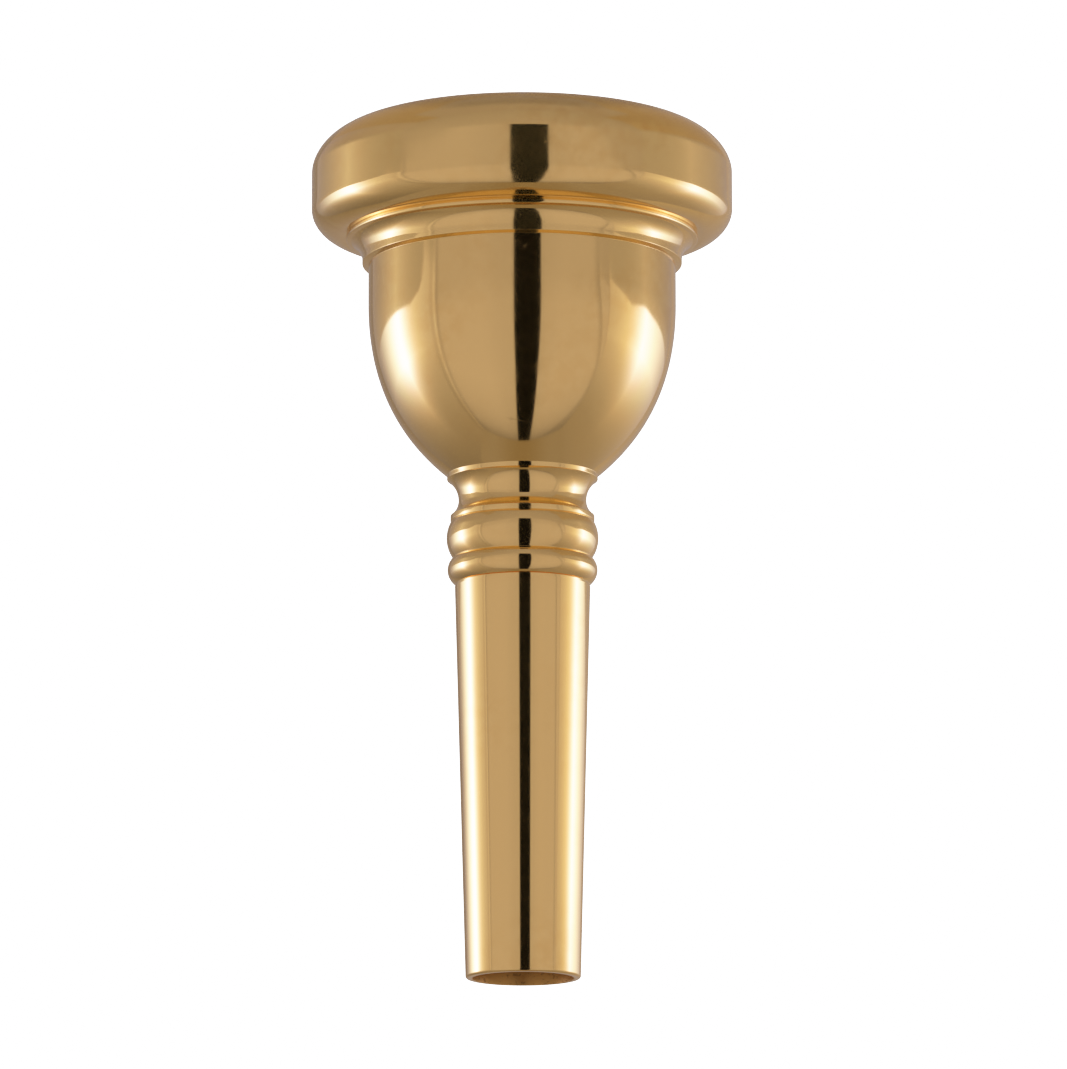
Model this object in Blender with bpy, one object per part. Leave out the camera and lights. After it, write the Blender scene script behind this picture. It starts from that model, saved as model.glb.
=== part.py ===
"""Low-brass mouthpiece in three turned and plated brass pieces that screw together, with two O-rings.

The axis of turning is Z. Z = 0 is the open end of the shank and the rim is at the top, so the
piece stands as it is held in an instrument's receiver that points up. A screwed joint opens
when the upper piece turns anticlockwise seen from above (right-handed threads).
Lengths below are in millimetres; MM turns them into Blender's metres.
"""

import math
from collections import namedtuple

import bmesh
import bpy

MM = 0.001
SEGMENTS = 36  # sides of every turned surface
ROWS_PER_TURN = 2  # a V thread: one valley and one ridge each turn

# Outside of the shank, from its open end up
SHANK_END_RADIUS = 5.29
SHANK_TOP_RADIUS = 6.25
SHANK_TOP_Z = 36.33
END_EDGE_RADIUS = 0.24

# Outside of the stem: two beads, a step ring and a waisted neck
STEM_BOTTOM_Z = 36.43
SMALL_BEAD = (5.406, 37.889, 1.517)  # centre's radius, centre's height, arc's radius
BIG_BEAD = (3.923, 40.876, 3.088)
BEADS_MEET_Z = 38.96
STEP_RING_RADIUS = 6.655
STEP_RING_GROOVE_RADIUS = 6.56
STEP_RING_Z = (42.44, 42.93)
STEP_RING_EDGE = 0.06
NECK_RADIUS = 5.91
NECK_Z = 44.7
FOOT_RING_RADIUS = 6.97
FOOT_RING_Z = (46.403, 46.833)

# Outside of the cup
CUP_RADIUS = 14.264
CUP_STRAIGHT_Z = 62.88
CUP_CURVE_HANDLES = ((10.473, 49.646), (CUP_RADIUS, 54.378))
CUP_TOP_Z = 66.5

# Outside of the rim: lip, cove, small ring, then the broad round rim itself
LIP_Z = (66.6, 66.97)
LIP_RADIUS = 14.85
LIP_CORNER = 0.15
COVE_BOTTOM_RADIUS = 14.78
COVE_TOP = (15.95, 68.95)
SMALL_RING_RADIUS = 16.33
SMALL_RING_Z = (69.02, 69.46)
SMALL_RING_GROOVE_RADIUS = 16.18
SMALL_RING_EDGE = 0.1
RIM_RADIUS = 19.54
RIM_UNDERSIDE = (17.1, 69.31)
RIM_WALL_Z = (71.69, 75.56)
RIM_TOP = (14.41, 79.75)
RIM_TOP_POWER = 1.86
BITE_Z = 78.2

# The air way: bowl, throat and backbore
BITE_RADIUS = 12.7
THROAT_RADIUS = 3.25
THROAT_Z = (44.0, 48.0)
BOWL_POWERS = (2.2, 1.1)
BACKBORE_END_RADIUS = 4.62
BACKBORE_POWER = 1.3

# The screwed joints: a spigot on the lower piece in a socket of the upper one
FIT = 0.1  # end and side play of a spigot in its socket
THREAD_PLAY = 0.12  # between the two threads, measured along the radius
Spigot = namedtuple("Spigot", "shoulder_z end_z valley ridge thread_z pitch turns seal_bore seal_top")
RIM_JOINT = Spigot(
    shoulder_z=CUP_TOP_Z,
    end_z=71.95,
    valley=12.95,
    ridge=13.4,
    thread_z=67.45,
    pitch=1.0,
    turns=3,
    seal_bore=14.22,
    seal_top=67.26,
)
SHANK_JOINT = Spigot(
    shoulder_z=SHANK_TOP_Z,
    end_z=42.55,
    valley=4.15,
    ridge=4.6,
    thread_z=37.4,
    pitch=0.8,
    turns=5,
    seal_bore=5.3,
    seal_top=37.0,
)

# O-rings: radius of the ring's centre line, radius of its section
RIM_O_RING = (13.84, 0.33)
SHANK_O_RING = (5.0, 0.25)
SEAL_PLAY = 0.05

GOLD_PLATE = (0.79, 0.55, 0.25)
RUBBER = (0.03, 0.03, 0.032)

Thread = namedtuple("Thread", "start turns pitch radii")  # radii: where a turn starts and half a turn on


def clear_scene():
    for thing in list(bpy.data.objects):
        bpy.data.objects.remove(thing, do_unlink=True)


def quarter(start, end, steps, power=2.0, first="sideways"):
    """Points after start on a quarter oval to end, which leaves start sideways or upright."""
    points = []
    for step in range(1, steps + 1):
        turn = step / steps * math.pi / 2
        rise, reach = 1 - math.cos(turn) ** (2 / power), math.sin(turn) ** (2 / power)
        across, along = (reach, rise) if first == "sideways" else (rise, reach)
        points.append((start[0] + (end[0] - start[0]) * across, start[1] + (end[1] - start[1]) * along))
    return points


def bead(shape, z_from, z_to, steps):
    """Points of a round bead between two heights, both ends included."""
    centre_radius, centre_z, arc_radius = shape
    first = math.asin((z_from - centre_z) / arc_radius)
    last = math.asin((z_to - centre_z) / arc_radius)
    angles = [first + (last - first) * step / steps for step in range(steps + 1)]
    return [(centre_radius + arc_radius * math.cos(a), centre_z + arc_radius * math.sin(a)) for a in angles]


def cubic(start, handles, end, steps):
    """Points after start on a cubic curve."""
    points = []
    for step in range(1, steps + 1):
        t = step / steps
        weights = ((1 - t) ** 3, 3 * (1 - t) ** 2 * t, 3 * (1 - t) * t * t, t**3)
        corners = (start, *handles, end)
        points.append(tuple(sum(w * corner[axis] for w, corner in zip(weights, corners)) for axis in (0, 1)))
    return points


def bowl_radius(z):
    """Radius of the bowl, from the bite down to the throat."""
    depth = (BITE_Z - z) / (BITE_Z - THROAT_Z[1])
    return THROAT_RADIUS + (BITE_RADIUS - THROAT_RADIUS) * (1 - depth ** BOWL_POWERS[0]) ** BOWL_POWERS[1]


def backbore_radius(z):
    """Radius of the bore below the throat, which opens towards the shank's end."""
    depth = (THROAT_Z[0] - z) / THROAT_Z[0]
    return THROAT_RADIUS + (BACKBORE_END_RADIUS - THROAT_RADIUS) * depth**BACKBORE_POWER


def bore_wall(radius_at, z_from, z_to, steps):
    """Points down the wall of the air way, both ends included."""
    heights = [z_from + (z_to - z_from) * step / steps for step in range(steps + 1)]
    return [(radius_at(z), z) for z in heights]


def spigot_outline(joint, bore_radius):
    """Up the outside of a spigot, from its shoulder to the bore at its end."""
    chamfer = 2 * FIT
    return [
        (joint.valley, joint.shoulder_z),
        (joint.valley, joint.thread_z - FIT),
        Thread(joint.thread_z, joint.turns, joint.pitch, (joint.valley, joint.ridge)),
        (joint.valley, joint.end_z - chamfer),
        (joint.valley - chamfer, joint.end_z),
        (bore_radius, joint.end_z),
    ]


def socket_outline(joint, bore_radius):
    """Down the inside of the socket for a spigot, from the bore to its mouth.

    The wall is as wide as the thread's roots above and below the thread, so the spigot's thread
    passes there as the joint opens.
    """
    crest, root = joint.valley + THREAD_PLAY, joint.ridge + THREAD_PLAY
    floor_z = joint.end_z + FIT
    return [
        (bore_radius, floor_z),
        (root, floor_z),
        Thread(joint.thread_z + joint.pitch / 2, joint.turns - 1, joint.pitch, (root, crest)),
        (root, joint.seal_top),
        (joint.seal_bore, joint.seal_top),
        (joint.seal_bore, joint.shoulder_z + FIT),
    ]


def rim_outline():
    lip_bottom, lip_top = LIP_Z
    ring_bottom, ring_top = SMALL_RING_Z
    points = [(LIP_RADIUS - LIP_CORNER, lip_bottom), (LIP_RADIUS, lip_bottom + LIP_CORNER), (LIP_RADIUS, lip_top)]
    points += [(COVE_BOTTOM_RADIUS, lip_top)]
    points += quarter((COVE_BOTTOM_RADIUS, lip_top), COVE_TOP, 5, first="upright")
    points += [(SMALL_RING_RADIUS - SMALL_RING_EDGE, ring_bottom), (SMALL_RING_RADIUS, (ring_bottom + ring_top) / 2)]
    points += [(SMALL_RING_GROOVE_RADIUS, ring_top), RIM_UNDERSIDE]
    points += quarter(RIM_UNDERSIDE, (RIM_RADIUS, RIM_WALL_Z[0]), 6)
    points += [(RIM_RADIUS, RIM_WALL_Z[1])]
    points += quarter((RIM_RADIUS, RIM_WALL_Z[1]), RIM_TOP, 9, RIM_TOP_POWER, first="upright")
    points += quarter(RIM_TOP, (BITE_RADIUS, BITE_Z), 5)
    floor_z = RIM_JOINT.end_z + FIT
    points += bore_wall(bowl_radius, BITE_Z, floor_z, 4)[1:-1]
    return points + socket_outline(RIM_JOINT, bowl_radius(floor_z))


def cup_outline():
    foot_bottom, foot_top = FOOT_RING_Z
    step_bottom, step_top = STEP_RING_Z
    points = bead(SMALL_BEAD, STEM_BOTTOM_Z, BEADS_MEET_Z, 6)
    points += bead(BIG_BEAD, BEADS_MEET_Z, step_bottom - STEP_RING_EDGE, 7)[1:]
    points += [(STEP_RING_GROOVE_RADIUS, step_bottom), (STEP_RING_RADIUS, step_bottom + STEP_RING_EDGE)]
    points += [(STEP_RING_RADIUS, step_top)]
    points += quarter((STEP_RING_RADIUS, step_top), (NECK_RADIUS, NECK_Z), 5, power=1.6)
    points += quarter((NECK_RADIUS, NECK_Z), (FOOT_RING_RADIUS, foot_bottom), 5, first="upright")
    points += [(FOOT_RING_RADIUS, foot_top)]
    points += cubic((FOOT_RING_RADIUS, foot_top), CUP_CURVE_HANDLES, (CUP_RADIUS, CUP_STRAIGHT_Z), 12)
    points += [(CUP_RADIUS, CUP_TOP_Z)]
    points += spigot_outline(RIM_JOINT, bowl_radius(RIM_JOINT.end_z))
    points += bore_wall(bowl_radius, RIM_JOINT.end_z, THROAT_Z[1], 12)[1:]
    points += [(THROAT_RADIUS, THROAT_Z[0])]
    return points + socket_outline(SHANK_JOINT, backbore_radius(SHANK_JOINT.end_z + FIT))


def shank_outline():
    points = [(BACKBORE_END_RADIUS, 0), (SHANK_END_RADIUS - END_EDGE_RADIUS, 0)]
    points += quarter((SHANK_END_RADIUS - END_EDGE_RADIUS, 0), (SHANK_END_RADIUS, END_EDGE_RADIUS), 3)
    points += [(SHANK_TOP_RADIUS, SHANK_TOP_Z)]
    points += spigot_outline(SHANK_JOINT, backbore_radius(SHANK_JOINT.end_z))
    return points + bore_wall(backbore_radius, SHANK_JOINT.end_z, 0, 6)[1:-1]


def o_ring_outline(size, bottom_z, steps=8):
    centre_radius, section = size
    turns = [2 * math.pi * step / steps for step in range(steps)]
    return [
        (centre_radius + section * math.cos(a), bottom_z + section + section * math.sin(a)) for a in turns
    ]


def circle_points(radius, z, rise=0.0):
    """Points round the axis, which climb by rise in a full turn."""
    turns = [step / SEGMENTS for step in range(SEGMENTS)]
    return [
        (radius * MM * math.cos(2 * math.pi * t), radius * MM * math.sin(2 * math.pi * t), (z + rise * t) * MM)
        for t in turns
    ]


def new_row(mesh, radius, z, rise=0.0):
    return [mesh.verts.new(point) for point in circle_points(radius, z, rise)]


def join_rows(mesh, first, second):
    """Faces all the way round between two rings."""
    for i in range(SEGMENTS):
        mesh.faces.new((first[i - 1], first[i], second[i], second[i - 1]))


def join_thread(mesh, below, thread, above, inside):
    """A helical thread between two plain rings. Its last column meets its first one a pitch higher."""
    rows = []
    for step in range(thread.turns * ROWS_PER_TURN + 1):
        height = thread.start + thread.pitch * step / ROWS_PER_TURN
        rows.append(new_row(mesh, thread.radii[step % ROWS_PER_TURN], height, thread.pitch))
    faces = []
    layers = [below, *rows, above]
    for lower, upper in zip(layers, layers[1:]):
        faces += [(lower[i], lower[i + 1], upper[i + 1], upper[i]) for i in range(SEGMENTS - 1)]
    for low, next_low, high, next_high in zip(rows, rows[1:], rows[ROWS_PER_TURN:], rows[ROWS_PER_TURN + 1 :]):
        faces.append((low[-1], high[0], next_high[0], next_low[-1]))
    start = [below[-1], below[0], *(row[0] for row in rows[: ROWS_PER_TURN + 1])]
    faces += [(rows[0][-1], a, b) for a, b in zip(start, start[1:])]
    end = [above[0], above[-1], *(row[-1] for row in rows[: -ROWS_PER_TURN - 2 : -1])]
    faces += [(rows[-1][0], a, b) for a, b in zip(end, end[1:])]
    for corners in faces:
        mesh.faces.new(reversed(corners) if inside else corners)


def turned_piece(name, outline, origin_z, material, parent=None):
    """Turns a closed outline round Z. It runs up the outside of the piece and down the inside."""
    mesh = bmesh.new()
    rows = [item if isinstance(item, Thread) else new_row(mesh, *item) for item in outline]
    for place, row in enumerate(rows):
        following = rows[(place + 1) % len(rows)]
        if isinstance(row, Thread):
            before = rows[place - 1]
            inside = before[0].co.z > following[0].co.z
            below, above = (following, before) if inside else (before, following)
            join_thread(mesh, below, row, above, inside)
        elif not isinstance(following, Thread):
            join_rows(mesh, row, following)
    bmesh.ops.translate(mesh, verts=mesh.verts, vec=(0, 0, -origin_z * MM))
    data = bpy.data.meshes.new(name)
    mesh.to_mesh(data)
    mesh.free()
    data.shade_smooth()
    data.set_sharp_from_angle(angle=math.radians(35))
    data.materials.append(material)
    piece = bpy.data.objects.new(name, data)
    bpy.context.scene.collection.objects.link(piece)
    piece.location.z = origin_z * MM
    if parent:
        piece.parent = parent
        piece.location.z -= parent.matrix_world.translation.z
    bpy.context.view_layer.update()
    return piece


def plain_material(name, colour, metallic, roughness):
    material = bpy.data.materials.new(name)
    material.use_nodes = True
    shader = material.node_tree.nodes["Principled BSDF"]
    shader.inputs["Base Color"].default_value = (*colour, 1)
    shader.inputs["Metallic"].default_value = metallic
    shader.inputs["Roughness"].default_value = roughness
    return material


def build():
    clear_scene()
    shank_gold = plain_material("gold_plated_shank", GOLD_PLATE, 1.0, 0.12)
    cup_gold = plain_material("gold_plated_cup", GOLD_PLATE, 1.0, 0.1)
    rim_gold = plain_material("gold_plated_rim", GOLD_PLATE, 1.0, 0.14)
    rubber = plain_material("black_nitrile_rubber", RUBBER, 0.0, 0.6)

    shank = turned_piece("shank", shank_outline(), 0.0, shank_gold)
    shank_seal = turned_piece(
        "shank_o_ring", o_ring_outline(SHANK_O_RING, SHANK_TOP_Z + SEAL_PLAY), SHANK_TOP_Z, rubber, shank
    )
    cup = turned_piece("cup", cup_outline(), SHANK_TOP_Z, cup_gold, shank_seal)
    rim_seal = turned_piece(
        "rim_o_ring", o_ring_outline(RIM_O_RING, CUP_TOP_Z + SEAL_PLAY), CUP_TOP_Z, rubber, cup
    )
    turned_piece("rim", rim_outline(), CUP_TOP_Z, rim_gold, rim_seal)


build()
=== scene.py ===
"""Looks of a low-brass mouthpiece: gold-plated rim, cup and shank that screw together, with O-rings.

The axis of turning is Z, as in the frame. Lengths in this script are in millimetres, and MM turns
them into metres. A point of an outline is (radius, height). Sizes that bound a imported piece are
read from the frame.
"""

import math
from collections import namedtuple

import bpy
from mathutils import Matrix, Vector


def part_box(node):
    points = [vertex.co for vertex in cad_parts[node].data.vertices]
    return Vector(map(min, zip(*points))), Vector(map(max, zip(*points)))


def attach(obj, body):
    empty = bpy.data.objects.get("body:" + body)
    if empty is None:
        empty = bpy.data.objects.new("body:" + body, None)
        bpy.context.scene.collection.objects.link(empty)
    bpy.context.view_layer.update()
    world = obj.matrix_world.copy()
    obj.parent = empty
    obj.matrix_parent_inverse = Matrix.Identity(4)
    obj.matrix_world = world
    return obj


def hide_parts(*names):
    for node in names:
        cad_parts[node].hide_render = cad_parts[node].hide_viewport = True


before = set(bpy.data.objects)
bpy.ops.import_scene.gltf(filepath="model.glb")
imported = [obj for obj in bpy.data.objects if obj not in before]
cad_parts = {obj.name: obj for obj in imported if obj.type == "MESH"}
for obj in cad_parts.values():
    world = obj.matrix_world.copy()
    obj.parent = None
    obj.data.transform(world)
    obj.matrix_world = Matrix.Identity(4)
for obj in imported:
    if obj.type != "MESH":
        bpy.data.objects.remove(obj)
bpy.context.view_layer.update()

MM = 0.001
SEGMENTS = 192  # sides of every turned surface
THREAD_ROWS = 10  # rows of a thread's profile in one turn

Thread = namedtuple("Thread", "start turns pitch first_radius middle_radius")
Row = namedtuple("Row", "first v climb")
Finish = namedtuple("Finish", "around haze dullness")
Lamp = namedtuple("Lamp", "peak centre front_reach rear_reach bottom drop")
Spigot = namedtuple("Spigot", "shoulder_z end_z valley ridge thread_z pitch turns seal_bore seal_top")


def box_mm(node):
    """A CAD node's lowest and highest corners in millimetres."""
    low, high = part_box(node)
    return low / MM, high / MM


rim_high = box_mm("rim")[1]
cup_low, cup_high = box_mm("cup")
shank_high = box_mm("shank")[1]

JOINT_LINE = 0.004  # what is left open where two pieces are screwed tight

# Shank
SHANK_END_RADIUS = 5.29
SHANK_TOP_RADIUS = shank_high.x
SHANK_TOP_Z = cup_low.z - 0.1  # the solids leave a gap of 0.1 here
END_EDGE = 0.24
BACKBORE_END_RADIUS = 4.62
BACKBORE_POWER = 1.3

# Stem of the cup
STEM_BOTTOM_Z = SHANK_TOP_Z + JOINT_LINE
STEM_EDGE_RADIUS = 6.2
STEM_LAND_Z = 36.57
SMALL_BEAD = (5.406, 37.889, 1.517)  # centre's radius, centre's height, arc's radius
BIG_BEAD = (3.923, 40.876, 3.088)
BEADS_MEET_Z = 38.96
BEAD_LAND = 0.12  # height of the flat between two beads
STEP_RING_RADIUS = 6.655
STEP_RING_GROOVE_RADIUS = 6.56
STEP_RING_Z = (42.41, 42.86)
NECK_RADIUS = 5.91
NECK_Z = 44.42
NECK_CURVES = ((1.8, 54.0), (2.4, 54.0))  # radius and turn of the hollow arc below the neck and above it
FOOT_RING_RADIUS = 6.97
FOOT_RING_Z = (46.38, 46.79)

# Cup and bowl
CUP_RADIUS = cup_high.x
CUP_STRAIGHT_Z = 62.88
CUP_WALL_ROW_Z = 64.7  # an extra row keeps the straight wall's shading straight
CUP_CURVE_HANDLES = ((10.473, 49.646), (CUP_RADIUS, 54.378))
CUP_TOP_Z = 66.5
THROAT_RADIUS = 3.25
THROAT_Z = (44.0, 48.0)
BITE_RADIUS = 12.7
BITE_Z = 78.2
BOWL_POWERS = (2.2, 1.1)  # how full the bowl is, and how it closes in on the throat

# Rim
RIM_BOTTOM_Z = CUP_TOP_Z + JOINT_LINE
LIP_NECK_Z = 66.58
LIP_Z = (66.75, 67.15)
LIP_RADIUS = 14.84
COVE_RADIUS = 2.0
COVE_TURN = 60.5
SMALL_RING_RADIUS = 16.33
SMALL_RING_Z = (68.94, 69.43)
SMALL_RING_GROOVE_RADIUS = 16.3
RIM_RADIUS = rim_high.x
RIM_UNDERSIDE = (16.8, 69.4)
RIM_CORNER_POWER = 1.88
RIM_WALL_Z = (71.86, 75.38)
RIM_WALL_ROWS_Z = (72.9, 74.3)  # as on the cup's wall
RIM_TOP = (14.41, rim_high.z - 0.18)
RIM_TOP_POWER = 1.86

# Edges where two screwed pieces meet
JOINT_EDGES_Z = (RIM_BOTTOM_Z, CUP_TOP_Z, STEM_BOTTOM_Z, SHANK_TOP_Z)

# Screwed joints, as the CAD has them
FIT = 0.1
THREAD_PLAY = 0.12
RIM_JOINT = Spigot(
    shoulder_z=CUP_TOP_Z, end_z=cup_high.z, valley=12.95, ridge=13.4,
    thread_z=67.45, pitch=1.0, turns=3, seal_bore=14.22, seal_top=67.26,
)
SHANK_JOINT = Spigot(
    shoulder_z=SHANK_TOP_Z, end_z=shank_high.z, valley=4.15, ridge=4.6,
    thread_z=37.4, pitch=0.8, turns=5, seal_bore=5.3, seal_top=37.0,
)

# Camera: on the -Y side, below the shank's end, aimed up at the middle of the piece
CAMERA_DISTANCE = 760.0
CAMERA_HEIGHT = -102.0
CAMERA_PITCH = 10.675
CAMERA_ROLL = -0.09
CAMERA_SHIFT = 0.0103
LENS_IN_FRAME_WIDTHS = 7.8599
SENSOR_MM = 36.0

# Finishes: linear colours, and the roughness of the most and the least polished places. A Finish
# has the length of the map round its piece, how much of the plate is satin, and how much is dull.
GOLD = (0.92, 0.63, 0.205, 1)
GOLD_TARNISHED = (0.885, 0.585, 0.18, 1)
BORE_BROWN = (0.7, 0.42, 0.11, 1)
BORE_SPECK = (0.52, 0.3, 0.08, 1)
ROUGHNESS = (0.06, 0.09)
MARK_DEPTH = 0.0006
ROUND = 0.05  # what a turned corner is rounded by
HOLLOW_ROUND = 0.04
RIM_FINISH = Finish(around=110, haze=0.06, dullness=0.013)
CUP_FINISH = Finish(around=80, haze=0.02, dullness=0.003)
SHANK_FINISH = Finish(around=36, haze=0.03, dullness=0.004)
RUBBER_BLACK = (0.004, 0.004, 0.0043, 1)
RUBBER_BLOOM = (0.011, 0.0107, 0.0104, 1)
RUBBER_GRAIN = 0.02

# Surroundings: the light tent's west, east, front, back, bottom and top, the tints of its light,
# the lamps on its sides, the level in the gap between its front cloths, and the floor
TENT = (-235, 235, -100, 400, -383, 300)
FRONT_CLOTH = (1, 0.91, 1.15, 1)
SIDE_CLOTH = (1, 0.92, 1.13, 1)
SIDE_CLOTH_LOW = (1, 0.88, 1.0, 1)
BACK_CLOTH = (1, 0.86, 0.85, 1)
WARM_CLOTH = (1, 0.81, 0.77, 1)
COOL_CLOTH = (1, 0.89, 1.12, 1)
TABLE = (1, 0.875, 0.97, 1)
TABLE_SHADE = (1, 0.8, 0.7, 1)
LAMP = (1, 0.97, 2.1, 1)
LAMP_REAR = (1, 1.1, 1.9, 1)
LEFT_LAMP_FRONT = (1, 0.87, 1.15, 1)
RIGHT_LAMP_FRONT = (1, 0.8, 0.85, 1)
LEFT_LAMP = Lamp(peak=3.5, centre=62, front_reach=43, rear_reach=72, bottom=15, drop=41)
RIGHT_LAMP = Lamp(peak=2.5, centre=60, front_reach=57, rear_reach=115, bottom=26, drop=42)
GAP_LEVEL = 0.005
FLOOR_Z = -160
FLOOR_HALF_WIDTH = 4000
FLOOR_GREYS = ((0.36, 0.36, 0.36, 1), (0.375, 0.375, 0.375, 1))

# Soft lights for what is matt, in metres and watts
SOFT_LIGHTS = (("soft_light_left", (-0.9, -0.5, 1.3), 14), ("soft_light_right", (0.9, 0.2, 1.2), 8))
SOFT_LIGHT_SIZE = 1.0
SOFT_LIGHT_AIM = (0, 0, 0.04)

# Highlights: a level of light and what it shows as; WHITE_LEVEL and above are white
WHITE_LEVEL = 2.5
SHOULDER = (
    (0.55, 0.55), (0.65, 0.625), (0.77, 0.715), (0.86, 0.775), (0.96, 0.83),
    (1.06, 0.88), (1.19, 0.93), (1.39, 0.97), (1.8, 0.99),
)


def quarter(start, end, steps, power=2.0, first="sideways"):
    """Points after start on a quarter oval to end, which leaves start sideways or upright."""
    points = []
    for step in range(1, steps + 1):
        turn = step / steps * math.pi / 2
        rise, reach = 1 - math.cos(turn) ** (2 / power), math.sin(turn) ** (2 / power)
        across, along = (reach, rise) if first == "sideways" else (rise, reach)
        points.append((start[0] + (end[0] - start[0]) * across, start[1] + (end[1] - start[1]) * along))
    return points


def bead(shape, z_from, z_to, steps):
    """Points of a round bead between two heights, both ends included."""
    centre_radius, centre_z, arc_radius = shape
    first = math.asin((z_from - centre_z) / arc_radius)
    last = math.asin((z_to - centre_z) / arc_radius)
    angles = [first + (last - first) * step / steps for step in range(steps + 1)]
    return [(centre_radius + arc_radius * math.cos(a), centre_z + arc_radius * math.sin(a)) for a in angles]


def hollow(start, radius, turn, steps):
    """Points after start on a hollow arc that leaves start upright and turns outwards by degrees."""
    angles = [math.radians(turn) * step / steps for step in range(1, steps + 1)]
    return [(start[0] + radius * (1 - math.cos(a)), start[1] + radius * math.sin(a)) for a in angles]


def cubic(start, handles, end, steps):
    """Points after start on a cubic curve."""
    points = []
    for step in range(1, steps + 1):
        t = step / steps
        weights = ((1 - t) ** 3, 3 * (1 - t) ** 2 * t, 3 * (1 - t) * t * t, t**3)
        corners = list(zip(weights, (start, *handles, end)))
        points.append(tuple(sum(weight * corner[axis] for weight, corner in corners) for axis in (0, 1)))
    return points


def bowl_radius(z):
    """Radius of the bowl, from the bite down to the throat."""
    depth = (BITE_Z - z) / (BITE_Z - THROAT_Z[1])
    return THROAT_RADIUS + (BITE_RADIUS - THROAT_RADIUS) * (1 - depth ** BOWL_POWERS[0]) ** BOWL_POWERS[1]


def backbore_radius(z):
    """Radius of the bore below the throat, which opens towards the shank's end."""
    depth = (THROAT_Z[0] - z) / THROAT_Z[0]
    return THROAT_RADIUS + (BACKBORE_END_RADIUS - THROAT_RADIUS) * depth**BACKBORE_POWER


def bore_wall(radius_at, z_from, z_to, steps):
    """Points down the wall of the air way, both ends included."""
    heights = [z_from + (z_to - z_from) * step / steps for step in range(steps + 1)]
    return [(radius_at(z), z) for z in heights]


def stays_sharp(before, point, after):
    """True beside a thread, and where two screwed pieces meet, so that their joint closes to a hair line."""
    if any(isinstance(item, Thread) for item in (before, point, after)):
        return True
    return min(abs(point[1] - edge_z) for edge_z in JOINT_EDGES_Z) < 1e-6


def corner_turn(before, point, after):
    """Degrees that the outline turns by at a point."""
    here = Vector(point)
    return math.degrees(math.pi - (Vector(before) - here).angle(Vector(after) - here))


def rounded_corner(before, point, after, steps=5):
    """Points of the small curve that takes a corner's place, tighter in a hollow."""
    here = Vector(point)
    back, ahead = Vector(before) - here, Vector(after) - here
    size = ROUND if back.cross(ahead) < 0 else HOLLOW_ROUND
    start = here + back.normalized() * min(size, back.length * 0.4)
    end = here + ahead.normalized() * min(size, ahead.length * 0.4)
    shares = [step / steps for step in range(steps + 1)]
    return [tuple(start * (1 - t) ** 2 + here * 2 * t * (1 - t) + end * t * t) for t in shares]


def softened(points, least_turn=18):
    """The outline with each free corner that turns by least_turn degrees or more rounded."""
    result = []
    for place, point in enumerate(points):
        before, after = points[place - 1], points[(place + 1) % len(points)]
        if stays_sharp(before, point, after) or corner_turn(before, point, after) < least_turn:
            result.append(point)
        else:
            result += rounded_corner(before, point, after)
    return result


def spigot_outline(joint, bore_radius):
    """Up the outside of a spigot, from its shoulder to the bore at its end."""
    return [
        (joint.valley, joint.shoulder_z),
        (joint.valley, joint.thread_z - FIT),
        Thread(joint.thread_z, joint.turns, joint.pitch, joint.valley, joint.ridge),
        (joint.valley, joint.end_z - 2 * FIT),
        (joint.valley - 2 * FIT, joint.end_z),
        (bore_radius, joint.end_z),
    ]


def socket_outline(joint, bore_radius, mouth_z):
    """Down the inside of the socket for a spigot: its ridges lie in the spigot's valleys."""
    crest, root = joint.valley + THREAD_PLAY, joint.ridge + THREAD_PLAY
    floor_z = joint.end_z + FIT
    return [
        (bore_radius, floor_z),
        (root, floor_z),
        Thread(joint.thread_z + joint.pitch / 2, joint.turns - 1, joint.pitch, root, crest),
        (root, joint.seal_top),
        (joint.seal_bore, joint.seal_top),
        (joint.seal_bore, mouth_z),
    ]


def rim_outline():
    """Up over lip, cove, small ring and rim to the bite, then down the bowl and the threaded socket."""
    lip_bottom, lip_top = LIP_Z
    ring_bottom, ring_top = SMALL_RING_Z
    ring_middle = (ring_bottom + ring_top) / 2
    ring_edge = (SMALL_RING_RADIUS - 0.1, ring_bottom)
    ring_crest = (SMALL_RING_RADIUS, ring_middle)
    points = [(CUP_RADIUS, RIM_BOTTOM_Z), (CUP_RADIUS, LIP_NECK_Z)]
    points += [(LIP_RADIUS, lip_bottom), (LIP_RADIUS, lip_top)]
    points += hollow((LIP_RADIUS, lip_top), COVE_RADIUS, COVE_TURN, 28)
    points += [ring_edge, *quarter(ring_edge, ring_crest, 5)]
    points += quarter(ring_crest, (SMALL_RING_GROOVE_RADIUS, ring_top), 5, first="upright")
    points += [(SMALL_RING_RADIUS + 0.03, RIM_UNDERSIDE[1] + 0.04), RIM_UNDERSIDE]
    points += quarter(RIM_UNDERSIDE, (RIM_RADIUS, RIM_WALL_Z[0]), 36, RIM_CORNER_POWER)
    points += [(RIM_RADIUS, z) for z in (*RIM_WALL_ROWS_Z, RIM_WALL_Z[1])]
    points += quarter((RIM_RADIUS, RIM_WALL_Z[1]), RIM_TOP, 56, RIM_TOP_POWER, first="upright")
    points += quarter(RIM_TOP, (BITE_RADIUS, BITE_Z), 24)
    floor_z = RIM_JOINT.end_z + FIT
    points += bore_wall(bowl_radius, BITE_Z, floor_z, 12)[1:-1]
    return points + socket_outline(RIM_JOINT, bowl_radius(floor_z), RIM_BOTTOM_Z)


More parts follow.
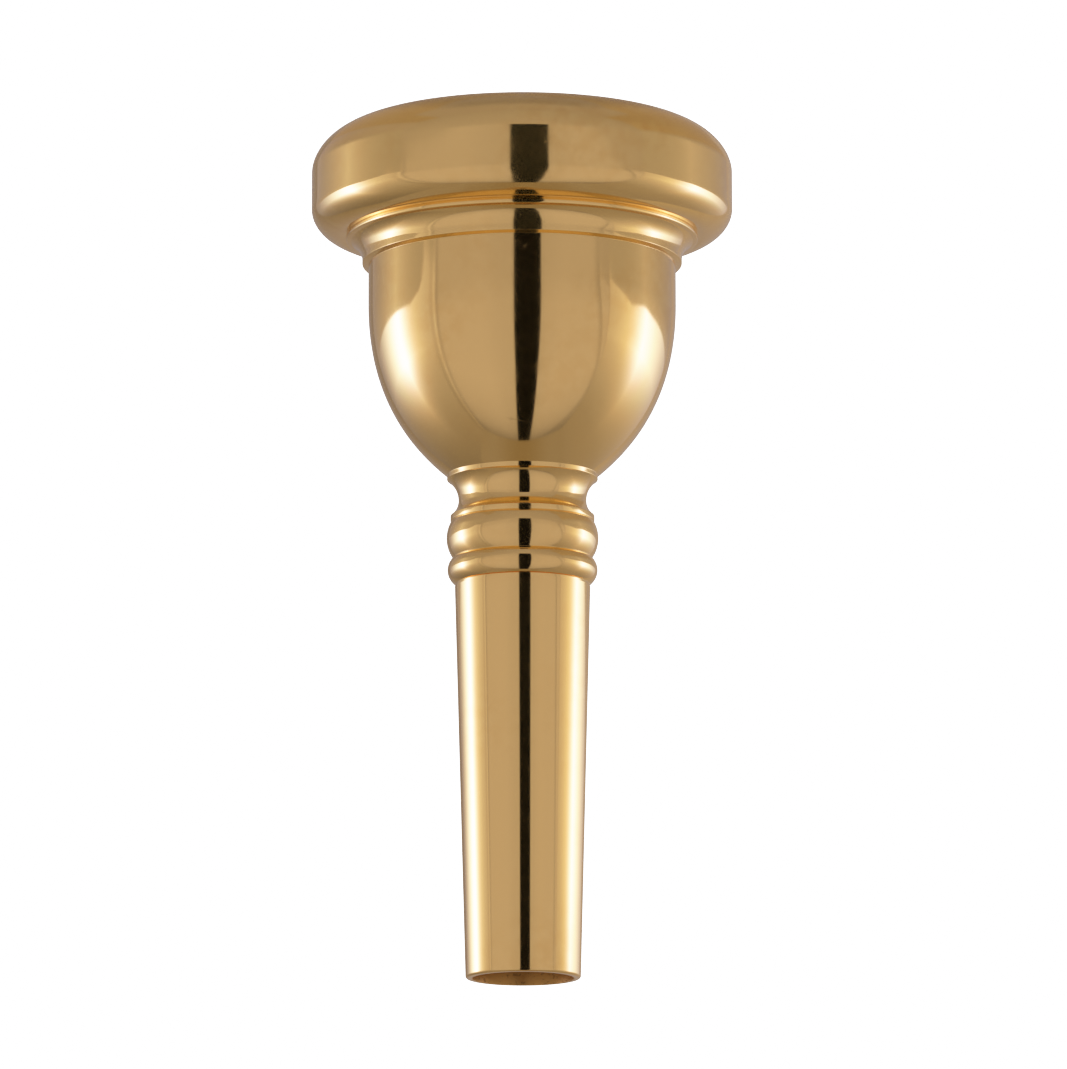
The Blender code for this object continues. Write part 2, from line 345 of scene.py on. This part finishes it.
def cup_outline():
    """Up the stem's beads and rings and the cup's wall to the spigot, then down bowl, throat and socket."""
    foot_bottom, foot_top = FOOT_RING_Z
    step_bottom, step_top = STEP_RING_Z
    points = [(STEM_EDGE_RADIUS, STEM_BOTTOM_Z), (STEM_EDGE_RADIUS, STEM_LAND_Z)]
    points += bead(SMALL_BEAD, STEM_LAND_Z + 0.02, BEADS_MEET_Z - BEAD_LAND / 2, 24)
    points += bead(BIG_BEAD, BEADS_MEET_Z + BEAD_LAND / 2, step_bottom - 0.06, 24)
    points += [(STEP_RING_GROOVE_RADIUS, step_bottom), (STEP_RING_RADIUS, step_bottom + 0.06)]
    points += [(STEP_RING_RADIUS, step_top)]
    lower, upper = NECK_CURVES
    flare = hollow((NECK_RADIUS, NECK_Z), *lower, 20)
    points += [(radius, 2 * NECK_Z - z) for radius, z in reversed(flare)]
    points += [(NECK_RADIUS, NECK_Z), *hollow((NECK_RADIUS, NECK_Z), *upper, 20)]
    points += [(FOOT_RING_RADIUS, foot_bottom), (FOOT_RING_RADIUS, foot_top)]
    points += cubic((FOOT_RING_RADIUS, foot_top), CUP_CURVE_HANDLES, (CUP_RADIUS, CUP_STRAIGHT_Z), 56)
    points += [(CUP_RADIUS, CUP_WALL_ROW_Z), (CUP_RADIUS, CUP_TOP_Z)]
    points += spigot_outline(RIM_JOINT, bowl_radius(RIM_JOINT.end_z))
    points += bore_wall(bowl_radius, RIM_JOINT.end_z, THROAT_Z[1], 48)[1:]
    points += [(THROAT_RADIUS, THROAT_Z[0])]
    return points + socket_outline(SHANK_JOINT, backbore_radius(SHANK_JOINT.end_z + FIT), STEM_BOTTOM_Z)


def shank_outline():
    """Out over the open end, up the taper to the spigot, then down the backbore."""
    end_flat = SHANK_END_RADIUS - END_EDGE
    points = [(BACKBORE_END_RADIUS, 0), (end_flat, 0)]
    points += quarter((end_flat, 0), (SHANK_END_RADIUS, END_EDGE), 8)
    points += [(SHANK_TOP_RADIUS, SHANK_TOP_Z)]
    points += spigot_outline(SHANK_JOINT, backbore_radius(SHANK_JOINT.end_z))
    return points + bore_wall(backbore_radius, SHANK_JOINT.end_z, 0, 40)[1:-1]


def o_ring_outline(cad_node, steps=28):
    """The round section of an O-ring, as large as its CAD node has it."""
    low, high = box_mm(cad_node)
    section = (high.z - low.z) / 2
    centre = (high.x - section, (high.z + low.z) / 2)
    turns = [2 * math.pi * step / steps for step in range(steps)]
    return [(centre[0] + section * math.cos(a), centre[1] + section * math.sin(a)) for a in turns]


class TurnedSkin:
    """Rows of points round Z, the faces between them, and a map: u round the axis, v along the outline."""

    def __init__(self):
        self.points, self.faces, self.map = [], [], []

    def row(self, radius, z, v, rise=0.0):
        """A ring of points that climbs by rise in a full turn."""
        first = len(self.points)
        for column in range(SEGMENTS):
            turn = column / SEGMENTS
            angle = 2 * math.pi * turn
            place = Vector((radius * math.cos(angle), radius * math.sin(angle), z + rise * turn))
            self.points.append(place * MM)
        return Row(first, v, rise)

    def face(self, corners, inside=False):
        """Corners are (row, column); column SEGMENTS is column 0 a full turn on."""
        corners = list(corners)
        if inside:
            corners.reverse()
        self.faces.append([row.first + column % SEGMENTS for row, column in corners])
        self.map += [(column / SEGMENTS, row.v + row.climb * column / SEGMENTS) for row, column in corners]

    def join_rows(self, first, second):
        for i in range(SEGMENTS):
            self.face(((first, i), (first, i + 1), (second, i + 1), (second, i)))

    def join_thread(self, below, thread, above, inside):
        """A helical thread between two plain rings: its last column meets its first one a pitch higher."""
        rows = []
        for step in range(thread.turns * THREAD_ROWS + 1):
            phase = step % THREAD_ROWS / THREAD_ROWS
            flank = (1 - abs(2 * phase - 1)) * 1.3 - 0.15
            share = min(1.0, max(0.0, flank))  # cut off flat at root and crest
            radius = thread.first_radius + (thread.middle_radius - thread.first_radius) * share
            height = thread.pitch * step / THREAD_ROWS
            rows.append(self.row(radius, thread.start + height, below.v + height, thread.pitch))
        layers = [below, *rows, above]
        for lower, upper in zip(layers, layers[1:]):
            for i in range(SEGMENTS - 1):
                self.face(((lower, i), (lower, i + 1), (upper, i + 1), (upper, i)), inside)
        a_turn_up = rows[THREAD_ROWS:]
        for low, next_low, high, next_high in zip(rows, rows[1:], a_turn_up, a_turn_up[1:]):
            self.face(((low, SEGMENTS - 1), (high, 0), (next_high, 0), (next_low, SEGMENTS - 1)), inside)
        start = [(below, SEGMENTS - 1), (below, 0), *((row, 0) for row in rows[: THREAD_ROWS + 1])]
        for a, b in zip(start, start[1:]):
            self.face(((rows[0], SEGMENTS - 1), a, b), inside)
        end = [(above, 0), (above, SEGMENTS - 1)]
        end += [(row, SEGMENTS - 1) for row in rows[: -THREAD_ROWS - 2 : -1]]
        for a, b in zip(end, end[1:]):
            self.face(((rows[-1], 0), a, b), inside)


def turned_skin(outline):
    """The skin of a closed outline that runs up the outside and down the inside."""
    skin = TurnedSkin()
    rows, along, last = [], 0.0, None
    for item in outline:
        if isinstance(item, Thread):
            rows.append(item)
            continue
        along += math.dist(item, last) if last else 0.0
        rows.append(skin.row(*item, along))
        last = item
    for place, row in enumerate(rows):
        after = (place + 1) % len(rows)
        if isinstance(row, Thread):
            inside = outline[place - 1][1] > outline[after][1]
            below, above = (rows[after], rows[place - 1]) if inside else (rows[place - 1], rows[after])
            skin.join_thread(below, row, above, inside)
        elif not isinstance(rows[after], Thread):
            skin.join_rows(row, rows[after])
    return skin


def turned_piece(name, outline, material, cad_node, body):
    """Turns an outline into a piece that rides on its CAD node's body and stands in for the node."""
    skin = turned_skin(outline)
    mesh = bpy.data.meshes.new(name)
    mesh.from_pydata(skin.points, [], skin.faces)
    uv = mesh.uv_layers.new(name="turned")
    uv.data.foreach_set("uv", [value for pair in skin.map for value in pair])
    mesh.shade_smooth()
    mesh.set_sharp_from_angle(angle=math.radians(40))
    mesh.materials.append(material)
    piece = bpy.data.objects.new(name, mesh)
    bpy.context.scene.collection.objects.link(piece)
    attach(piece, body)
    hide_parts(cad_node)


class Graph:
    """A material's nodes, with short calls for the kinds that this script uses."""

    def __init__(self, name):
        self.material = bpy.data.materials.new(name)
        self.material.use_nodes = True
        self.nodes = self.material.node_tree.nodes
        self.links = self.material.node_tree.links
        self.shader = self.nodes["Principled BSDF"]

    def feed(self, socket, value):
        """Links a socket to an output, or sets its value."""
        if isinstance(value, bpy.types.NodeSocket):
            self.links.new(value, socket)
        else:
            socket.default_value = value

    def node(self, kind, *values, **settings):
        """A new node with its settings, and values or outputs for its first sockets."""
        node = self.nodes.new("ShaderNode" + kind)
        for name, setting in settings.items():
            setattr(node, name, setting)
        for socket, value in zip(node.inputs, values):
            self.feed(socket, value)
        return node

    def math(self, operation, *values):
        """The result of a Math node."""
        return self.node("Math", *values, operation=operation).outputs[0]

    def product(self, first, *others):
        """All values multiplied."""
        for other in others:
            first = self.math("MULTIPLY", first, other)
        return first

    def total(self, first, *others):
        """All values added up."""
        for other in others:
            first = self.math("ADD", first, other)
        return first

    def ease(self, value, start, end):
        """Climbs smoothly from 0 at start to 1 at end; start may be the higher of the two."""
        return self.node("MapRange", value, start, end, interpolation_type="SMOOTHSTEP").outputs[0]

    def blend(self, share, first, second):
        """From one number to another as share goes from 0 to 1."""
        return self.node("MapRange", share, 0, 1, first, second).outputs[0]

    def tinted(self, level, tint):
        """Light of a level and a colour."""
        return self.node("VectorMath", level, tint, operation="MULTIPLY").outputs[0]

    def both(self, first, second):
        """The sum of two lights."""
        return self.node("VectorMath", first, second, operation="ADD").outputs[0]

    def inverse(self, value):
        """1 minus the value."""
        return self.math("SUBTRACT", 1.0, value)

    def band(self, value, low, high, edge):
        """1 between low and high, 0 outside, over an edge on each side."""
        rising = self.ease(self.math("SUBTRACT", value, low), -edge / 2, edge / 2)
        return self.product(rising, self.ease(self.math("SUBTRACT", value, high), edge / 2, -edge / 2))

    def profile(self, value, *stops):
        """A level that runs straight from one (place, level) stop to the next."""
        start, end = stops[0][0], stops[-1][0]
        peak = max(level for _, level in stops)
        ramp = self.node("ValToRGB", self.node("MapRange", value, start, end).outputs[0])
        elements = ramp.color_ramp.elements
        while len(elements) < len(stops):
            elements.new(0.5)
        for element, (place, _) in zip(elements, stops):
            element.position = (place - start) / (end - start)
        for element, (_, level) in zip(elements, stops):
            element.color = (level / peak, level / peak, level / peak, 1)
        return self.product(ramp.outputs[0], peak)

    def mix_color(self, share, first, second):
        """From one colour to another as share goes from 0 to 1."""
        node = self.nodes.new("ShaderNodeMix")
        node.data_type = "RGBA"
        for name, value in (("Factor_Float", share), ("A_Color", first), ("B_Color", second)):
            self.feed(next(socket for socket in node.inputs if socket.identifier == name), value)
        return next(socket for socket in node.outputs if socket.identifier == "Result_Color")

    def noise(self, vector, scale, detail):
        """Noise from 0 to 1 round 0.5, whose patches are about 1 / scale wide."""
        node = self.node("TexNoise")
        self.feed(node.inputs["Vector"], vector)
        node.inputs["Scale"].default_value = scale
        node.inputs["Detail"].default_value = detail
        return node.outputs[0]

    def stretched(self, vector, turn, scale):
        """The vector turned about Z by degrees and then scaled along each axis."""
        turned = self.node("VectorRotate", rotation_type="Z_AXIS")
        self.feed(turned.inputs["Vector"], vector)
        turned.inputs["Angle"].default_value = math.radians(turn)
        scaled = self.node("VectorMath", turned.outputs[0], scale, operation="MULTIPLY")
        return scaled.outputs[0]


def surface_map(graph, around):
    """The map of a turned piece in millimetres: round the axis, where around is a full turn, and along it."""
    uv = graph.node("UVMap", uv_map="turned").outputs[0]
    return graph.node("VectorMath", uv, (around, 1, 0), operation="MULTIPLY").outputs[0]


def place_mm(graph):
    """A point's place in its piece's own frame, in millimetres."""
    place = graph.node("TexCoord").outputs["Object"]
    return graph.node("VectorMath", place, (1 / MM, 1 / MM, 1 / MM), operation="MULTIPLY").outputs[0]


def scratches(graph, flat, turn, length, width, share):
    """Thin streaks across the map at an angle; share is about how much of the surface has them."""
    drawn = graph.noise(graph.stretched(flat, turn, (1 / length, 1 / width, 1)), 1.0, 0.0)
    thin = graph.ease(graph.math("ABSOLUTE", graph.math("SUBTRACT", drawn, 0.5)), 0.012, 0.002)
    patches = graph.noise(graph.stretched(flat, turn, (0.3 / length, 1.0, 1)), 1.0, 1.0)
    return graph.product(thin, graph.ease(patches, 0.66 - share, 0.72 - share))


def wiping_scratches(graph, flat):
    """Thin scratches in four directions, most of them nearly round the piece."""
    streaks = scratches(graph, flat, 12, 9.0, 0.5, 0.03)
    for turn, length, share in ((-20, 7.0, 0.02), (38, 5.0, 0.0), (82, 4.0, -0.03)):
        streaks = graph.math("MAXIMUM", streaks, scratches(graph, flat, turn, length, 0.45, share))
    return streaks


def fine_pits(graph, place):
    """Small round pits about a millimetre apart."""
    cells = graph.node("TexVoronoi")
    graph.feed(cells.inputs["Vector"], place)
    cells.inputs["Scale"].default_value = 0.9
    return graph.ease(cells.outputs["Distance"], 0.07, 0.04)


def bumpy(graph, height, strength, depth):
    """Gives the shader a bump from height, where 1 is depth in millimetres."""
    bump = graph.node("Bump")
    bump.inputs["Strength"].default_value = strength
    bump.inputs["Distance"].default_value = depth * MM
    graph.feed(bump.inputs["Height"], height)
    graph.feed(graph.shader.inputs["Normal"], bump.outputs[0])


def gold_plate(name, finish):
    """Polished gold plate over turned brass: its graph, colour, roughness and a point's place.

    It has turning marks, wiping scratches, pits, tarnish and a satin haze. A finish's dullness is the
    share of the surface that scatters light as paint does, set by the photo's dark reflection.
    """
    graph = Graph(name)
    flat, place = surface_map(graph, finish.around), place_mm(graph)
    clouds = graph.noise(place, 0.09, 3.0)
    fine_clouds = graph.noise(place, 0.8, 4.0)
    tarnish = graph.product(graph.ease(clouds, 0.42, 0.7), graph.ease(fine_clouds, 0.35, 0.65))
    color = graph.mix_color(tarnish, GOLD, GOLD_TARNISHED)

    turning = graph.noise(graph.stretched(flat, 0, (0.02, 5.0, 1)), 1.0, 3.0)
    streaks = wiping_scratches(graph, flat)
    pits = fine_pits(graph, place)
    grain = graph.ease(graph.noise(place, 14.0, 1.0), 0.66 - finish.haze, 0.72 - finish.haze)
    worn = graph.math("MAXIMUM", graph.product(grain, 0.35), graph.math("MAXIMUM", streaks, pits))
    polish = graph.node("MapRange", fine_clouds, 0.3, 0.7, ROUGHNESS[0], ROUGHNESS[1]).outputs[0]
    roughness = graph.total(polish, graph.product(worn, 0.14), graph.product(tarnish, 0.015))

    dents = graph.total(graph.product(streaks, -0.3), graph.product(pits, -0.4))
    bumpy(graph, graph.total(graph.product(turning, 0.5), dents), 1.0, MARK_DEPTH)
    graph.shader.inputs["Metallic"].default_value = 1.0 - finish.dullness
    return graph, color, roughness, place


def plated(name, finish):
    """Gold plate as a finished material."""
    graph, color, roughness, _ = gold_plate(name, finish)
    graph.feed(graph.shader.inputs["Base Color"], color)
    graph.feed(graph.shader.inputs["Roughness"], roughness)
    return graph.material


def off_the_backbore(graph, place):
    """How far a point is outside the backbore's wall, whose radius backbore_radius gives."""
    parts = graph.node("SeparateXYZ", place).outputs
    squares = graph.total(graph.product(parts[0], parts[0]), graph.product(parts[1], parts[1]))
    depth = graph.math("DIVIDE", graph.math("SUBTRACT", THROAT_Z[0], parts[2]), THROAT_Z[0])
    widening = graph.product(graph.math("POWER", depth, BACKBORE_POWER), BACKBORE_END_RADIUS - THROAT_RADIUS)
    return graph.math("SUBTRACT", graph.math("SQRT", squares), graph.total(widening, THROAT_RADIUS))


def plated_with_dull_bore(name, finish):
    """Gold plate outside and on the spigot; the bore is brown and dull, with dark specks."""
    graph, color, roughness, place = gold_plate(name, finish)
    inside = graph.ease(off_the_backbore(graph, place), 0.14, 0.04)
    specks = graph.ease(graph.noise(place, 2.6, 3.0), 0.56, 0.66)
    dull = graph.mix_color(specks, BORE_BROWN, BORE_SPECK)
    rougher = graph.product(inside, graph.total(0.32, graph.product(specks, 0.1)))
    graph.feed(graph.shader.inputs["Base Color"], graph.mix_color(inside, color, dull))
    graph.feed(graph.shader.inputs["Roughness"], graph.total(roughness, rougher))
    return graph.material


def rubber(name):
    """Black moulded rubber with a faint bloom and a fine grain."""
    graph = Graph(name)
    place = place_mm(graph)
    bloom = graph.noise(place, 0.7, 4.0)
    color = graph.mix_color(graph.ease(bloom, 0.4, 0.75), RUBBER_BLACK, RUBBER_BLOOM)
    graph.feed(graph.shader.inputs["Base Color"], color)
    graph.feed(graph.shader.inputs["Roughness"], graph.total(0.42, graph.product(bloom, 0.2)))
    bumpy(graph, graph.noise(place, 9.0, 3.0), 0.6, RUBBER_GRAIN)
    return graph.material


def lit_panel(name, corners, light):
    """A panel of the tent round the piece, seen only in mirror-like surfaces.

    light is called with the panel's graph and a point's x, y and z in millimetres, and returns the
    colour of the light there. In it, a profile's stops are (place in millimetres, level of light).
    """
    graph = Graph(name)
    parts = graph.node("SeparateXYZ", place_mm(graph)).outputs
    glow = graph.node("Emission")
    graph.feed(glow.inputs["Color"], light(graph, *parts))
    graph.links.new(glow.outputs[0], graph.nodes["Material Output"].inputs["Surface"])
    graph.nodes.remove(graph.shader)
    graph.material.cycles.emission_sampling = "NONE"
    mesh = bpy.data.meshes.new(name)
    mesh.from_pydata([[value * MM for value in corner] for corner in corners], [], [(0, 1, 2, 3)])
    mesh.materials.append(graph.material)
    panel = bpy.data.objects.new(name, mesh)
    bpy.context.scene.collection.objects.link(panel)
    for kind in ("camera", "diffuse", "transmission", "volume_scatter", "shadow"):
        setattr(panel, "visible_" + kind, False)


def dark_gap(graph, x, z):
    """1 in the gap between the front cloths that the camera looks through, which widens downwards."""
    drop = graph.math("MAXIMUM", graph.math("MULTIPLY", z, -1.0), 0.0)
    left = graph.math("SUBTRACT", -10.0, graph.math("DIVIDE", drop, 30.0))
    right = graph.total(23.0, graph.math("DIVIDE", drop, 22.0))
    after_left = graph.ease(graph.math("SUBTRACT", x, left), -1.0, 1.0)
    before_right = graph.ease(graph.math("SUBTRACT", x, right), 1.0, -1.0)
    return graph.product(after_left, before_right, graph.ease(z, 104, 101))


def front_cloth(graph, x, z):
    """The level of the lit front cloth, which fades downwards and a little towards the gap."""
    level = graph.profile(
        z, (-383, 0.29), (-320, 0.32), (-225, 0.43), (-125, 0.515), (-25, 0.575), (60, 0.565), (87, 0.51)
    )
    beside_gap = graph.ease(graph.math("ABSOLUTE", x), 60, 20)
    return graph.product(level, graph.inverse(graph.product(beside_gap, 0.07)))


def inside_front_cloth(graph, x, z):
    """How far a point is inside the front cloth's rounded outline; negative is outside it."""
    west = graph.profile(z, (-383, 150), (-366, 199), (-300, 222))
    east = graph.profile(
        z, (-383, 60), (-350, 112), (-312, 148), (-211, 199), (-126, 228), (-40, 221), (90, 160)
    )
    sideways = graph.math("MINIMUM", graph.total(x, west), graph.math("SUBTRACT", east, x))
    return graph.math("MINIMUM", sideways, graph.total(z, -TENT[4]))


def front_light(graph, x, y, z):
    """A white cloth with a fold round its edge, a dimmer one above it, and the dark gap."""
    cloth = front_cloth(graph, x, z)
    within = inside_front_cloth(graph, x, z)
    shaded = graph.product(cloth, graph.inverse(graph.product(graph.ease(within, 34, 0), 0.26)))
    fold = graph.product(cloth, graph.profile(z, (-383, 0.85), (-200, 0.82), (-60, 1.0), (104, 1.03)))
    fold = graph.product(fold, graph.inverse(graph.product(graph.ease(x, 226, 231), 0.2)))
    below = graph.blend(graph.ease(within, -1, 1), fold, shaded)
    above = graph.profile(z, (102, 0.44), (135, 0.41), (200, 0.385), (300, 0.365))
    top = graph.profile(graph.total(x, -TENT[0]), (0, 126), (65, 116), (121, 106), (150, 102.5), (470, 102))
    level = graph.blend(graph.ease(graph.math("SUBTRACT", z, top), -2, 3), below, above)
    return graph.tinted(graph.blend(dark_gap(graph, x, z), level, GAP_LEVEL), FRONT_CLOTH[:3])


def side_light(graph, y, z, cloth, lamp, above, lamp_top, lamp_front, high_cloth):
    """A lamp on a side cloth, and the cloth above lamp_top, which has the tint high_cloth further up."""
    low_tint = graph.mix_color(graph.ease(z, -260, -60), SIDE_CLOTH_LOW, SIDE_CLOTH)
    rear_tint = graph.mix_color(graph.ease(y, 80, 150), LAMP, LAMP_REAR)
    core = graph.product(graph.ease(y, -30, 50), graph.ease(z, -90, 10))
    lamp_tint = graph.mix_color(core, lamp_front, rear_tint)
    below = graph.both(graph.tinted(cloth, low_tint), graph.tinted(lamp, lamp_tint))
    high_tint = graph.mix_color(graph.ease(z, 165, 215), SIDE_CLOTH, high_cloth)
    over = graph.ease(graph.math("SUBTRACT", z, lamp_top), -2, 3)
    return graph.mix_color(over, below, graph.tinted(above, high_tint))


def glow(graph, place, centre, reach_before, reach_after):
    """1 at the centre; it falls to about a third within a reach, and so on."""
    offset = graph.math("SUBTRACT", place, centre)
    before, after = graph.math("DIVIDE", offset, reach_before), graph.math("DIVIDE", offset, -reach_after)
    return graph.math("EXPONENT", graph.math("MINIMUM", before, after))


def soft_lamp(graph, lamp, y, z):
    """A wide lamp's level: it fades to the front, to the rear and below its bottom, and a little upwards."""
    below = graph.math("DIVIDE", graph.math("SUBTRACT", z, lamp.bottom), lamp.drop)
    downwards = graph.math("EXPONENT", graph.math("MINIMUM", below, 0.0))
    upwards = graph.profile(z, (30, 1.0), (80, 0.9))
    across = glow(graph, y, lamp.centre, lamp.front_reach, lamp.rear_reach)
    return graph.product(across, downwards, upwards, lamp.peak)


def cloth_above(graph, z, lit):
    """The level of a side cloth above its lamp, which lights its lower part."""
    return graph.blend(graph.ease(z, 140, 185), lit, graph.profile(z, (140, 0.43), (200, 0.4), (300, 0.38)))


def left_light(graph, x, y, z):
    """A wide soft lamp beside the cup and the rim, and dimmer cloth above and below it.

    The cloth has a glint at its front edge and a dark line beside it.
    """
    cloth = graph.profile(y, (-100, 0.54), (0, 0.47), (200, 0.365), (400, 0.31))
    fading = graph.profile(z, (-383, 0.65), (-270, 0.68), (-180, 0.74), (-105, 0.84), (0, 1.0))
    glint = graph.product(graph.band(y, -101, -95, 3), 0.25)
    dark_line = graph.product(graph.band(y, -92, -78, 6), -0.14)
    cloth = graph.product(cloth, fading, graph.total(1.0, glint, dark_line))
    lit = graph.total(graph.product(glow(graph, y, 70, 66, 92), 0.38), 0.365)
    above = cloth_above(graph, z, graph.product(lit, graph.profile(z, (85, 1.1), (110, 1.04), (135, 1.0))))
    lamp_top = graph.profile(y, (-60, 118), (-45, 110), (-38, 100), (-10, 88), (0, 85))
    lamp = soft_lamp(graph, LEFT_LAMP, y, z)
    return side_light(graph, y, z, cloth, lamp, above, lamp_top, LEFT_LAMP_FRONT, COOL_CLOTH)


def right_light(graph, x, y, z):
    """A lamp and cloths like the left ones; this lamp's light reaches far back."""
    cloth = graph.profile(z, (-383, 0.33), (-180, 0.37), (-105, 0.43), (-45, 0.5), (-15, 0.52), (80, 0.5))
    lit = graph.total(graph.product(glow(graph, y, 50, 50, 90), 0.17), 0.42)
    above = cloth_above(graph, z, graph.product(lit, graph.profile(z, (85, 1.2), (96, 1.15), (110, 1.0))))
    lamp_top = graph.profile(y, (-100, 116), (-74, 105), (-9, 83), (47, 88), (95, 84))
    lamp = soft_lamp(graph, RIGHT_LAMP, y, z)
    return side_light(graph, y, z, cloth, lamp, above, lamp_top, RIGHT_LAMP_FRONT, WARM_CLOTH)


def back_light(graph, x, y, z):
    """Grey cloth, lighter towards the right."""
    level = graph.profile(x, (-235, 0.28), (0, 0.38), (188, 0.47), (235, 0.47))
    return graph.tinted(level, BACK_CLOTH[:3])


def top_light(graph, x, y, z):
    """Warm cloth round a cooler and darker arch, which begins at the front."""
    cloth = graph.profile(y, (-100, 0.36), (0, 0.36), (100, 0.37), (400, 0.39))
    aside = graph.math("ABSOLUTE", x)
    arch = graph.profile(
        y, (-100, 160), (0, 150), (19, 143), (31, 95), (108, 49), (141, 16), (150, 0.5)
    )
    inside = graph.ease(graph.math("SUBTRACT", arch, aside), -4, 4)
    shade = graph.product(graph.ease(aside, 110, 50), graph.ease(y, -40, 30))
    level = graph.product(cloth, graph.inverse(graph.product(shade, 0.27)))
    return graph.tinted(level, graph.mix_color(inside, WARM_CLOTH, COOL_CLOTH))


def bottom_light(graph, x, y, z):
    """The table under the tent, a little in the shade of the piece."""
    away = graph.ease(graph.math("ABSOLUTE", x), 10, 170)
    level = graph.blend(away, 0.275, 0.325)
    return graph.tinted(level, graph.mix_color(away, TABLE_SHADE, TABLE))


def build_tent():
    """Six lit panels round the piece: a plain studio's light tent, as its mirror-like gold shows it."""
    west, east, front, back, low, high = TENT
    plan = ((west, front), (east, front), (east, back), (west, back))
    corners = [(x, y, z) for z in (low, high) for x, y in plan]
    panels = {
        "front": ((0, 1, 5, 4), front_light),
        "right": ((1, 2, 6, 5), right_light),
        "back": ((2, 3, 7, 6), back_light),
        "left": ((3, 0, 4, 7), left_light),
        "bottom": ((3, 2, 1, 0), bottom_light),
        "top": ((4, 5, 6, 7), top_light),
    }
    for side, (places, light) in panels.items():
        lit_panel("tent_" + side, [corners[place] for place in places], light)


def build_floor():
    """A pale matt floor below the camera, which the gold doesn't mirror."""
    graph = Graph("floor_paper")
    mottle = graph.noise(place_mm(graph), 0.02, 4.0)
    graph.feed(graph.shader.inputs["Base Color"], graph.mix_color(mottle, *FLOOR_GREYS))
    graph.shader.inputs["Roughness"].default_value = 0.9
    mesh = bpy.data.meshes.new("floor")
    half, height = FLOOR_HALF_WIDTH * MM, FLOOR_Z * MM
    corners = [(-half, -half, height), (half, -half, height), (half, half, height), (-half, half, height)]
    mesh.from_pydata(corners, [], [(0, 1, 2, 3)])
    mesh.materials.append(graph.material)
    floor = bpy.data.objects.new("floor", mesh)
    bpy.context.scene.collection.objects.link(floor)
    floor.visible_glossy = False


def add_soft_light(name, place, power):
    """A large square lamp that lights matt surfaces and isn't mirrored."""
    data = bpy.data.lights.new(name, "AREA")
    data.shape, data.size, data.energy = "SQUARE", SOFT_LIGHT_SIZE, power
    lamp = bpy.data.objects.new(name, data)
    bpy.context.scene.collection.objects.link(lamp)
    lamp.location = place
    aim = Vector(SOFT_LIGHT_AIM) - lamp.location
    lamp.rotation_euler = aim.to_track_quat("-Z", "Y").to_euler()
    lamp.visible_glossy = False
    lamp.visible_camera = False


def soften_highlights():
    """Rolls highlights off softly towards white, as a camera does."""
    view = bpy.context.scene.view_settings
    view.view_transform = "Standard"
    view.use_curve_mapping = True
    view.curve_mapping.white_level = (WHITE_LEVEL,) * 3
    curve = view.curve_mapping.curves[3]
    for light, shown in SHOULDER:
        curve.points.new(light / WHITE_LEVEL, shown)
    for point in curve.points:
        point.handle_type = "VECTOR"
    view.curve_mapping.update()


def light_scene():
    """An even white world, and two soft lights for what is matt."""
    world = bpy.data.worlds.new("white_studio")
    world.use_nodes = True
    background = world.node_tree.nodes["Background"]
    background.inputs["Color"].default_value = (1, 1, 1, 1)
    background.inputs["Strength"].default_value = WHITE_LEVEL
    world.cycles.sampling_method = "NONE"
    bpy.context.scene.world = world
    for name, place, power in SOFT_LIGHTS:
        add_soft_light(name, place, power)


def add_camera():
    """A long lens below the piece that looks up at it."""
    data = bpy.data.cameras.new("camera")
    camera = bpy.data.objects.new("camera", data)
    bpy.context.scene.collection.objects.link(camera)
    data.sensor_fit = "HORIZONTAL"
    data.sensor_width = SENSOR_MM
    data.lens = LENS_IN_FRAME_WIDTHS * SENSOR_MM
    data.shift_x = CAMERA_SHIFT
    data.clip_start, data.clip_end = 0.1, 50
    camera.location = (0, -CAMERA_DISTANCE * MM, CAMERA_HEIGHT * MM)
    tilt = Matrix.Rotation(math.radians(90 + CAMERA_PITCH), 3, "X")
    camera.rotation_euler = (tilt @ Matrix.Rotation(math.radians(CAMERA_ROLL), 3, "Z")).to_euler()
    bpy.context.scene.camera = camera


def build_mouthpiece():
    """The three turned pieces and the two O-rings that seal them."""
    rim_gold = plated("rim_gold", RIM_FINISH)
    cup_gold = plated("cup_gold", CUP_FINISH)
    shank_gold = plated_with_dull_bore("shank_gold", SHANK_FINISH)
    turned_piece("rim_body", softened(rim_outline()), rim_gold, "rim", "rim")
    turned_piece("cup_body", softened(cup_outline()), cup_gold, "cup", "cup")
    turned_piece("shank_body", softened(shank_outline()), shank_gold, "shank", "shank")
    black_rubber = rubber("seal_rubber")
    for joint in ("rim", "shank"):
        cad_node = joint + "_o_ring"
        outline = o_ring_outline(cad_node)
        turned_piece(joint + "_seal_ring", outline, black_rubber, cad_node, joint + "_seal")


build_mouthpiece()
build_tent()
build_floor()
light_scene()
soften_highlights()
add_camera()
